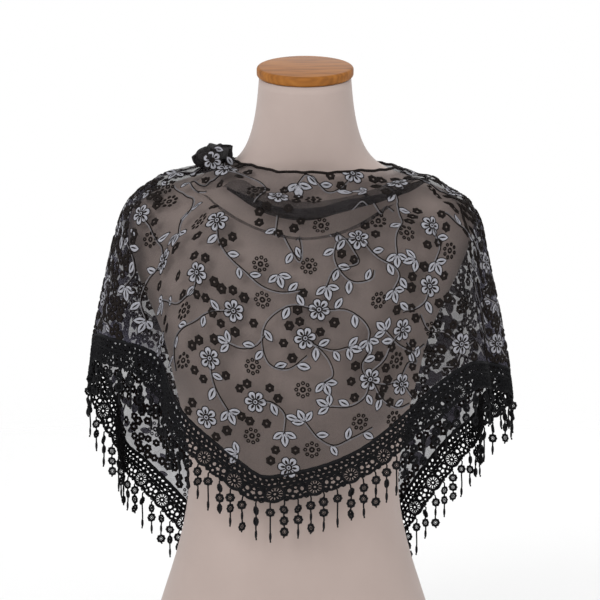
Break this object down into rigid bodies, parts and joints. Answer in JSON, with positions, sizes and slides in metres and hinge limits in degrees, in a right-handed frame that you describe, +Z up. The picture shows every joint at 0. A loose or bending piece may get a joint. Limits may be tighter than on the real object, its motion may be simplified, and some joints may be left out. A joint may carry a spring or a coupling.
{
  "type": "lace shawl on a dress form",
  "caption": "Triangular black embroidered net shawl with a guipure lace band and floret fringe, draped over a limbless tabletop dress form with a wooden neck cap.",
  "frame": {"origin": "on the dress form's flat base, straight below the middle of the neck", "axes": "+Z up, -Y towards the wearer's front, +X to the viewer's right"},
  "size_m": [0.4757, 0.2651, 0.7405],
  "materials": {
    "form_cover": "smooth matte pale pinkish beige jersey cover",
    "varnished_wood": "warm brown turned wood under gloss varnish",
    "net": "sheer black net with silver-white and black floral embroidery",
    "lace": "black guipure lace, matte cotton-like thread"
  },
  "bodies": {
    "root": {"form_body": "form_cover", "neck_cap": "varnished_wood", "shoulder_gather": "net", "shawl_front": "net", "shawl_left": "net", "shawl_right": "net", "tail_left": "net", "tail_right": "net", "band_front": "lace", "band_left": "lace", "band_right": "lace", "band_tail_left": "lace", "band_tail_right": "lace", "fringe_front": "lace", "fringe_left": "lace", "fringe_right": "lace", "fringe_tail_left": "lace", "fringe_tail_right": "lace"}
  },
  "joints": []
}
